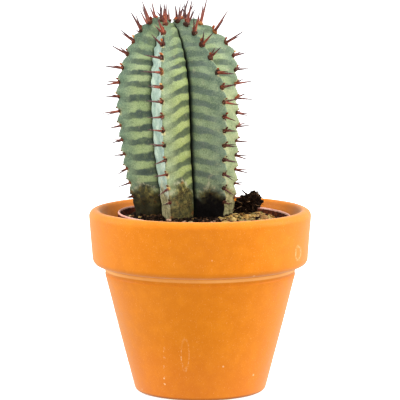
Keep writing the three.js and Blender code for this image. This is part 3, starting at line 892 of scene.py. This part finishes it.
all_dir = np.concatenate([main_dir, twin_dir])
all_rise = np.concatenate([spine_rise, spine_rise[twin]])
spine_rings, spine_poles, reach = cones(
    np.concatenate([spine_foot, spine_foot[twin]]),
    all_dir,
    np.concatenate([main_length, twin_length]) + SPINE_SUNK,
    np.concatenate([main_radius, twin_radius]),
    0.05 * draw.normal(size=(len(all_dir), 3)),
)
tint = draw.uniform(0, 1, len(all_dir))
spines = bodies_piece(
    "spines",
    leaned(spine_rings),
    leaned(spine_poles),
    {"reach": reach[None, :, None], "tint": tint[:, None, None], "upward": all_rise[:, None, None]},
)

# %% [markdown]
# Just above each spine, on the peak of the tooth, sits a small bud: orange brown near the top of the
# plant, dry and dark lower down. Round each spine's foot is a little corky pad, larger on the rib
# whose spines stand in dark knots. Both are squashed balls of five rings.


# %% Buds and corky pads
BUD_SHAPE = [1.6, 0.9, 0.85]
PAD_SHAPE = [0.9, 1.2, 1.5]


def balls(centres, directions, sizes, rows=5, columns=8, seed=5, roughness=0.12):
    """Rings and poles of small balls: a sphere's grid times uneven radii, with three half-sizes.

    The first half-size is along each direction, and the other two are square to it.
    """
    uneven = 1 + roughness * np.random.default_rng(seed).normal(size=(len(centres), rows, columns))
    polar = np.linspace(0, np.pi, rows + 2)[1:-1, None]
    spin = once_round(columns)
    parts = (-np.cos(polar), np.sin(polar) * np.cos(spin), np.sin(polar) * np.sin(spin))
    rings = centres[:, None, None]
    for number, (axis, part) in enumerate(zip((directions, *square_to(directions)), parts)):
        reach_out = part * uneven * sizes[:, number, None, None]
        rings = rings + axis[:, None, None] * reach_out[..., None]
    along = directions * sizes[:, :1]
    return rings, np.stack([centres - along, centres + along], 1)


on_dark_rib = spine_rib == DARK_RIB
bud_walk = np.minimum(spine_walk + 1.9, crest_length - 2)
bud_scale = draw.uniform(0.7, 1.15, main_count) * (0.5 + 0.5 * spine_rise)
pad_scale = 0.9 + 0.55 * spine_rise + 0.25 * on_dark_rib
bud_centre = stem_skin(spine_rib, 1, np.zeros(main_count), bud_walk, -0.15)
pad_centre = stem_skin(spine_rib, 1, np.zeros(main_count), spine_walk + 0.3, -0.15)
bud_rings, bud_poles = balls(
    np.concatenate([bud_centre, pad_centre]),
    unit(np.concatenate([main_dir + [0, 0, 0.5], main_dir])),
    np.concatenate([bud_scale[:, None] * BUD_SHAPE, pad_scale[:, None] * PAD_SHAPE]),
)
bud_tint = draw.uniform(0, 1, 2 * main_count) * np.tile(np.where(on_dark_rib, 0.55, 1.0), 2)
buds = bodies_piece(
    "buds",
    leaned(bud_rings),
    leaned(bud_poles),
    {
        "pad": np.repeat([0.0, 1.0], main_count)[:, None, None],
        "tint": bud_tint[:, None, None],
        "upward": np.tile(spine_rise, 2)[:, None, None],
    },
)

# %% [markdown]
# Spines and buds get one colour each from a random `tint`, and `upward` tells young ones from old.
# `reach` is 0 at a spine's foot and 1 at its tip, and turns the foot warm and the tip dark.


# %% Spine and bud finishes
def spine_finish():
    """Reddish horn: old or young by height, tint by tint, with a warm foot, a dark tip and pale fibres."""
    horn = Finish("spine_horn", Specular_IOR_Level=0.4)
    reach, tint = horn.mark("reach"), horn.mark("tint")
    fibre = horn.noise(900, 3, 0.6)
    young = horn.ramp(tint, (0.0, "481812"), (0.5, "702c1c"), (1.0, "98452c"))
    old = horn.ramp(tint, (0.0, "3a2420"), (0.5, "5e2a1e"), (1.0, "7a3a28"))
    base = horn.mix(horn.fit(horn.mark("upward"), 0.1, 0.6), old, young)
    base = horn.mix(horn.fit(reach, 0.3, 0.0, 0.0, 0.6), base, "a24a24")
    base = horn.mix(horn.fit(reach, 0.3, 0.85, 0.0, 0.9), base, "3a262c")
    base = horn.mix(horn.fit(fibre, 0.52, 0.72, 0.0, 0.5), base, "b98a74")
    rough = horn.fit(fibre, 0.3, 0.7, 0.4, 0.65)
    return horn.done(Base_Color=base, Roughness=rough, Normal=horn.bump(fibre, 0.12, 0.5))


def bud_finish():
    """Scaly brown: fresh or dry by height for a bud, darker for a pad, with pale and dark grains."""
    scale = Finish("bud_scale", Specular_IOR_Level=0.2, Roughness=0.75)
    tint = scale.mark("tint")
    grain = scale.noise(1500, 3, 0.65)
    fresh = scale.ramp(tint, (0.0, "6e2c14"), (0.5, "95441c"), (0.85, "b8682c"), (1.0, "cf9a58"))
    dry = scale.ramp(tint, (0.0, "24120b"), (0.5, "562614"), (0.85, "8a4a26"), (1.0, "cfb268"))
    pad = scale.ramp(tint, (0.0, "24120b"), (0.7, "552413"), (0.9, "8f5a2e"), (1.0, "cdb06a"))
    base = scale.mix(scale.fit(scale.mark("upward"), 0.15, 0.8), dry, fresh)
    base = scale.mix(scale.mark("pad"), base, pad)
    base = scale.mix(scale.fit(grain, 0.56, 0.72, 0.0, 0.55), base, "d8ac74")
    base = scale.mix(scale.fit(grain, 0.44, 0.3, 0.0, 0.6), base, "2a120a")
    return scale.done(Base_Color=base, Normal=scale.bump(grain, 0.2, 0.7))


dress(spines, spine_finish(), "spine")
dress(buds, bud_finish(), "spine")

# %% [markdown]
# ## Soil
#
# Potting mix is a plug that fills the nursery pot: a domed, crumbly top, and a wall that follows the
# pot. It is one stack of rings again, wrapped from the bottom, up the wall and over the top to a pole
# in the middle, which the stem hides.

# %% Soil plug
SOIL_EDGE = 89.5
SOIL_SPREAD = 48.9
SOIL_FOOT = 1.6
SOIL_WALL = 1.5
SOIL_TOP_RADIUS = 47.0


def soil_height(distance):
    """Height of bare soil at a distance from the nursery pot's axis: level, then lower at the wall."""
    return SOIL_CROWN + (SOIL_EDGE - SOIL_CROWN) * step(distance, 30, SOIL_SPREAD)


wall_heights = np.array([SOIL_FOOT, 30.0, 60.0, 84.0, 88.4])
wall_radii = NURSERY_FOOT + (SOIL_SPREAD - NURSERY_FOOT) * (wall_heights - 1) / 88.5 - SOIL_WALL
top_radii = np.linspace(SOIL_TOP_RADIUS, 0.6, 96)
soil_radius = np.concatenate([wall_radii, top_radii])[:, None]
spin = once_round(200)
soil_rings = np.stack([soil_radius * np.cos(spin), soil_radius * np.sin(spin), 0 * soil_radius * spin], -1)
soil_rings[: len(wall_radii), :, 2] = wall_heights[:, None]
top = soil_rings[len(wall_radii) :]
crumbly = 0.9 * bumps(top, 9, 31, 2) + 0.7 * bumps(top, 3.2, 32, 3)
crumbly *= step(top_radii, SOIL_TOP_RADIUS, SOIL_TOP_RADIUS - 2)[:, None]
top[..., 2] = soil_height(top_radii)[:, None] + crumbly
soil_poles = np.array([[[0, 0, SOIL_FOOT], [0, 0, SOIL_CROWN]]])
soil = bodies_piece("soil_plug", leaned(soil_rings)[None], leaned(soil_poles))
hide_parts("potting_soil")

# %% [markdown]
# ## Grit and stones
#
# A stone chip is what is left between a few flat cuts in random directions. In any direction, its
# surface is at the nearest cut, so its radius is the smallest of the cuts' distances divided by how
# squarely each cut faces that direction. A soft minimum rounds the edges between facets. The same
# formula makes one stone or hundreds at once.

# %% Chips
STONE_ROWS, STONE_COLUMNS = 14, 20
STONE_FIT = 1.12
GOLDEN = 0.618


def ways(polar, spin):
    """Directions one long, from angles measured from straight down and angles round the vertical."""
    flat = np.sin(polar)
    return np.stack([flat * np.cos(spin), flat * np.sin(spin), -np.cos(polar) + 0 * spin], -1)


def chips(count, rows, columns, seed, cuts=11, edge=14.0):
    """Unit chips as (rings, poles): in every direction, a soft minimum of cut distance over facing."""
    random = np.random.default_rng(seed)
    way = ways(np.linspace(0, np.pi, rows + 2)[:, None], once_round(columns))
    normals = unit(random.normal(size=(count, cuts, 3)))
    distances = random.uniform(0.62, 1.0, (count, cuts))
    facing = np.einsum("rck,nmk->nrcm", way, normals)
    inverse = np.maximum(facing, 0) / distances[:, None, None]
    radius = 1 / np.maximum((inverse**edge).sum(-1) ** (1 / edge), 0.75)
    points = way * radius[..., None]
    poles = np.stack([points[:, 0].mean(1), points[:, -1].mean(1)], 1)
    return points[:, 1:-1], poles


def chip_place(node):
    """Centre and half-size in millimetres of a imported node, from its box."""
    low, high = (np.array(corner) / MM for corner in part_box(node))
    return (low + high) / 2, (high - low) / 2


grit_nodes = sorted(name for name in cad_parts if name.startswith("grit_"))
stone_rings, stone_poles = chips(len(grit_nodes), STONE_ROWS, STONE_COLUMNS, 41)
stones = []
for number, node in enumerate(grit_nodes):
    centre, half = chip_place(node)
    size = half * STONE_FIT
    rough = 1 + 0.05 * bumps(stone_rings[number] * size, 1.6, 50 + number, 2)[..., None]
    stone = bodies_piece(
        f"stone_{node[-2:]}",
        (centre + stone_rings[number] * rough * size)[None],
        (centre + stone_poles[number] * size)[None],
        {"tint": number * GOLDEN % 1},
    )
    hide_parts(node)
    stones.append(stone)

# %% [markdown]
# Between the stones lie nearly two thousand smaller crumbs: dark mix all round, pale grit thick on one
# side. They are drawn in one go, on the soil, as chips of two dozen faces. A crumb's chance of being
# pale grit depends on where it lies.

# %% Crumbs
CRUMBS = 1900
CRUMB_SPREAD = 45.6
scatter = np.random.default_rng(23)
crumb_radius = CRUMB_SPREAD * np.sqrt(scatter.uniform(0.12, 1, CRUMBS))
angle = scatter.uniform(-np.pi, np.pi, CRUMBS)
crumb_x, crumb_y = crumb_radius * np.cos(angle), crumb_radius * np.sin(angle)
grit_side = step(crumb_x, 6, 17) * (0.3 + 0.7 * step(crumb_y, 30, 0))
is_grit = scatter.uniform(0, 1, CRUMBS) < 0.03 + 0.62 * grit_side
grit_size, dark_size = scatter.uniform(0.5, 1.5, CRUMBS), scatter.uniform(0.35, 1.35, CRUMBS)
crumb_shape = [scatter.uniform(low, high, CRUMBS) for low, high in ((0.9, 1.7), (0.7, 1.1), (0.45, 0.85))]
crumb_half = np.where(is_grit, grit_size, dark_size)[:, None] * np.stack(crumb_shape, -1)
crumb_turn = scatter.uniform(0, np.pi, CRUMBS)


def laid(points, half, turn, centres):
    """Chips stretched by their half-sizes, turned about the vertical and moved to their centres."""
    wide = (slice(None),) + (None,) * (points.ndim - 2)
    stretched = points * half[wide]
    sine, cosine = np.sin(turn)[wide], np.cos(turn)[wide]
    x, y, z = np.moveaxis(stretched, -1, 0)
    return np.stack([x * cosine - y * sine, x * sine + y * cosine, z], -1) + centres[wide]


crumb_height = soil_height(crumb_radius) + 0.35 * crumb_half[:, 2] + scatter.uniform(0, 0.9, CRUMBS)
crumb_centres = np.stack([crumb_x, crumb_y, crumb_height], -1)
crumb_tint = scatter.uniform(0, 1, CRUMBS)
crumb_parts = chips(CRUMBS, 3, 6, 61, cuts=8)
crumb_laid = [leaned(laid(part, crumb_half, crumb_turn, crumb_centres)) for part in crumb_parts]


def crumbs(name, chosen):
    """The chosen crumbs as one piece."""
    rings, poles = (part[chosen] for part in crumb_laid)
    return bodies_piece(name, rings, poles, {"tint": crumb_tint[chosen][:, None, None]})


grit_crumbs, soil_crumbs = crumbs("grit_crumbs", is_grit), crumbs("soil_crumbs", ~is_grit)

# %% [markdown]
# ## Bark chips and the peat crumb
#
# On the narrow side lie a few bark chips, and by the stem on the other side a crumb of dry peat as
# broad as a thumb, with fine roots and a bit of twig sticking out. The chips use the stone formula,
# long and flat. The peat is a ball pushed in and out hard by `bumps`.

# %% Bark chips
BARK_COUNT = 6
BARK_HALF = np.array([3.3, 1.75, 0.95])
bark_turn = np.radians(-62 - 21.0 * np.arange(BARK_COUNT))
bark_centre = np.array([chip_place(f"bark_chip_{i + 1}")[0] for i in range(BARK_COUNT)])
bark_half = BARK_HALF * np.random.default_rng(72).uniform(0.85, 1.15, (BARK_COUNT, 3))
bark_parts = chips(BARK_COUNT, 16, 22, 71, cuts=13, edge=20)
bark_rings, bark_poles = (laid(part, bark_half, bark_turn, bark_centre) for part in bark_parts)
bark_pieces = []
for i in range(BARK_COUNT):
    rings = bark_rings[i : i + 1]
    rings[..., 2] += 0.12 * bumps(rings, 1.3, 80 + i, 2)
    chip = bodies_piece(f"bark_{i + 1}", rings, bark_poles[i : i + 1], {"tint": i / BARK_COUNT})
    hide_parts(f"bark_chip_{i + 1}")
    bark_pieces.append(chip)

# %% Peat crumb
CLUMP_TILT = 0.5
CLUMP_HALF = np.array([8.4, 6.6, 5.8])
clump_centre = chip_place("peat_clump")[0]


def tilted(points):
    """Points turned about Y so that the +X end stands higher."""
    x, y, z = np.moveaxis(points, -1, 0)
    sine, cosine = np.sin(CLUMP_TILT), np.cos(CLUMP_TILT)
    return np.stack([x * cosine - z * sine, y, x * sine + z * cosine], -1)


def clump_skin(way):
    """The surface in a direction: a squared-off ellipsoid pushed in and out by two sizes of bumps."""
    boxy = way / (np.abs(way) ** 3).sum(-1, keepdims=True) ** (1 / 3)
    body = boxy * CLUMP_HALF * 0.94
    push = 1 + 0.11 * bumps(body, 8.5, 91, 2) + 0.1 * bumps(body, 2.6, 92, 3)
    return clump_centre + tilted(body * push[..., None])


clump_rings = clump_skin(ways(np.linspace(0, np.pi, 74)[1:-1, None], once_round(110)))
clump_poles = clump_skin(np.array([[0, 0, -1.0], [0, 0, 1.0]]))
clump = bodies_piece("peat_crumb", clump_rings[None], clump_poles[None])
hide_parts("peat_clump")

# %% [markdown]
# The root hairs and the bit of twig are cones again, like the spines, but strongly bent. Each starts
# a little under the peat's surface and points roughly outwards. The twig is the last of them, with a
# place, direction and bend of its own.

# %% Roots and a twig
ROOTS = 150
TWIG_LENGTH, TWIG_RADIUS = 5.0, 0.6
root_random = np.random.default_rng(93)
root_way = unit(root_random.normal(size=(ROOTS, 3)) * [1.2, 1, 1] + [0.1, -0.2, 0.5])
root_dir = unit(root_way + 0.8 * root_random.normal(size=(ROOTS, 3)))
root_length = np.append(root_random.uniform(1.6, 4.4, ROOTS), TWIG_LENGTH)
root_radius = np.append(root_random.uniform(0.12, 0.3, ROOTS), TWIG_RADIUS)
twig_way, twig_dir = unit(np.array([[0.25, -0.2, 0.95], [-0.8, 0.0, 0.6]]))
root_feet = np.vstack([clump_skin(root_way) - root_way * 0.6, clump_skin(twig_way)])
root_bend = 0.35 * root_random.normal(size=(ROOTS + 1, 3))
root_bend[-1] = [0.05, 0, 0.12]
root_rings, root_poles, _ = cones(
    root_feet, np.vstack([root_dir, twig_dir]), root_length, root_radius, root_bend,
)
root_tint = root_random.uniform(0, 1, ROOTS + 1)[:, None, None]
roots = bodies_piece("peat_roots", root_rings, root_poles, {"tint": root_tint})

# %% [markdown]
# Soil, peat, bark and grit share one idea. Each loose bit has its own stored `tint`, and a ramp turns
# it into one of a handful of natural colours. The soil plug and the peat are one body each, so there
# the ramp reads noise. More noise dirties them all.


# %% Finishes of the loose pieces
def crumbly_finish(name, stops, specks, relief_mm, scale=520, tinted=True):
    """A dull, dirty finish: ramp colours by tint or by noise, with pale specks and a rough relief."""
    made = Finish(name, Specular_IOR_Level=0.05, Roughness=0.92)
    grain = made.noise(scale, 5, 0.7)
    base = made.ramp(made.mark("tint") if tinted else grain, *stops)
    base = made.mix(made.fit(grain, 0.46, 0.3, 0.0, 0.75), base, "0c0704")
    base = made.mix(made.fit(made.noise(scale * 2.3, 2, 0.6), 0.6, 0.72, 0.0, 0.7), base, specks)
    return made.done(Base_Color=base, Normal=made.bump(grain, relief_mm, 0.8))


soil_stops = ((0.35, "0a0604"), (0.5, "1c120b"), (0.62, "35241a"), (0.75, "5a402c"))
soil_finish = crumbly_finish("potting_mix", soil_stops, "6a4c34", 0.9, tinted=False)
crumb_stops = ((0.0, "0b0705"), (0.5, "1a100a"), (0.82, "2e1f15"), (0.94, "64462f"), (1.0, "c09a80"))
crumb_finish = crumbly_finish("dark_crumb", crumb_stops, "6a4c34", 0.3)
peat_stops = ((0.3, "060302"), (0.5, "120a06"), (0.7, "2a1a10"), (0.85, "4b3220"))
peat_finish = crumbly_finish("dry_peat", peat_stops, "5a3e28", 1.2, 640, tinted=False)
root_stops = ((0.0, "150d08"), (0.6, "3a281a"), (0.85, "8c6c4c"), (1.0, "b89a76"))
root_finish = crumbly_finish("root_hair", root_stops, "a08060", 0.1)
bark_stops = ((0.0, "2c1a10"), (0.5, "4a2e1c"), (1.0, "6e4a30"))
bark_finish = crumbly_finish("bark_chip", bark_stops, "c9b09a", 0.4, 380)
grit_stops = (
    (0.0, "96723c"), (0.2, "b08f52"), (0.38, "7c4e30"), (0.52, "6a6236"), (0.66, "bd9f62"),
    (0.8, "6e4820"), (0.92, "46361e"), (1.0, "d2b884"),
)
grit_finish = crumbly_finish("grit_stone", grit_stops, "d8c49a", 0.35, 640)

dress(soil, soil_finish, "potting_mix")
dress(soil_crumbs, crumb_finish, "potting_mix")
dress(grit_crumbs, grit_finish, "grit")
dress(clump, peat_finish, "peat")
dress(roots, root_finish, "peat")
for stone in stones:
    dress(stone, grit_finish, "grit")
for chip in bark_pieces:
    dress(chip, bark_finish, "bark")

# %% [markdown]
# ## Floor, light and camera
#
# The setting is a white light table. The floor is pale and glows, most of all away from the object, so
# that it looks white to the camera; its weaker glow near the object is painted shade round it. It throws
# no light of its own on the object: diffuse and glossy rays don't see it, and meet the white surround
# instead.


# %% Floor
def stage_floor():
    """One square face just under the foot, with a glow that grows with the distance: painted shade near
    the object.
    """
    corners = np.array([[-6, -6, -0.0002], [6, -6, -0.0002], [6, 6, -0.0002], [-6, 6, -0.0002]])
    mesh = bpy.data.meshes.new("floor")
    mesh.from_pydata(corners.tolist(), [], [[0, 1, 2, 3]])
    floor = put("floor", mesh)
    white = Finish("white_floor", Roughness=0.9, Emission_Color=(1, 1, 1, 1))
    sheet = white.ramp(white.noise(3, 2), (0.0, "f4f4f4"), (1.0, "fafafa"))
    away = white.node("VectorMath", {0: white.place}, operation="LENGTH").outputs["Value"]
    # Painted shade: the glow is weaker near the object, a pale shadow round its foot.
    glow_with_painted_shade = white.fit(away, 0.03, 0.4, 0.6, 1.0)
    mesh.materials.append(white.done(Base_Color=sheet, Emission_Strength=glow_with_painted_shade))
    floor.visible_diffuse = False
    floor.visible_glossy = False
    print(f"floor: {2 * corners.max():.0f} m wide")


stage_floor()

# %% [markdown]
# The surround is a world with two strengths of white: one for the light it casts, and a brighter one
# for rays that come straight from the camera, so that the background stays pure white.

# %% Surround
CAST_STRENGTH, SEEN_STRENGTH = 0.85, 1.05
surround = bpy.data.worlds.new("white_surround")
surround.use_nodes = True
nodes, links = surround.node_tree.nodes, surround.node_tree.links
cast, seen = nodes["Background"], nodes.new("ShaderNodeBackground")
for background, strength in ((cast, CAST_STRENGTH), (seen, SEEN_STRENGTH)):
    background.inputs["Color"].default_value = (1, 1, 1, 1)
    background.inputs["Strength"].default_value = strength
either = nodes.new("ShaderNodeMixShader")
links.new(nodes.new("ShaderNodeLightPath").outputs["Is Camera Ray"], either.inputs[0])
links.new(cast.outputs[0], either.inputs[1])
links.new(seen.outputs[0], either.inputs[2])
links.new(either.outputs[0], nodes["World Output"].inputs["Surface"])
bpy.context.scene.world = surround
print(f"surround: casts {CAST_STRENGTH}, seen at {SEEN_STRENGTH}")

# %% [markdown]
# Five soft boxes add shape to the even white light. Those at the sides are the strongest: they make
# the pot's edges pale and the rib faces alternate between light and dark. The front and top ones
# fill in, and a low, weak one lifts the shade under the band.


# %% Soft boxes
def turned_to(place, aim):
    """Turns that make a lamp or camera at a place look at a point."""
    return (Vector(aim) - Vector(place)).to_track_quat("-Z", "Y").to_euler()


def soft_box(name, place, aim, width, height, power):
    """A rectangular area light at a place, turned to face a point; all in metres and watts."""
    light = bpy.data.lights.new(name, "AREA")
    light.shape, light.size, light.size_y = "RECTANGLE", width, height
    light.energy = power
    made = put(name, light)
    made.location, made.rotation_euler = place, turned_to(place, aim)
    print(f"{name}: {width} x {height} m, {power} W")


soft_box("left_box", (-0.95, 0.05, 0.55), (0, 0, 0.12), 0.5, 0.9, 10)
soft_box("right_box", (0.95, 0.0, 0.6), (0, 0, 0.12), 0.5, 0.9, 14)
soft_box("front_box", (0.15, -1.1, 0.95), (0, 0, 0.1), 0.6, 0.6, 5)
soft_box("low_box", (0.0, -0.55, 0.03), (0, 0, 0.075), 0.7, 0.08, 0.8)
soft_box("top_box", (0.05, -0.1, 1.2), (0, 0, 0.1), 0.7, 0.7, 4)

# %% [markdown]
# The camera stands about a metre and a half in front, a little above the plant's tip, and looks slightly
# down with a long lens, so the pot's mouth is a thin ellipse and its foot shows only a slight curve.

# %% Camera
CAMERA_PLACE = (-0.0001, -1.456, 0.296)
CAMERA_AIM = (-0.0001, 0, 0.112)
lens = bpy.data.cameras.new("camera")
lens.sensor_width, lens.lens = 36, 225.7
camera = put("camera", lens)
camera.location, camera.rotation_euler = CAMERA_PLACE, turned_to(CAMERA_PLACE, CAMERA_AIM)
bpy.context.scene.camera = camera
bpy.context.scene.view_settings.view_transform = "Standard"
camera_distance = (Vector(CAMERA_AIM) - camera.location).length
print(f"camera: {lens.lens:.1f} mm lens, {camera_distance:.2f} m from its aim")
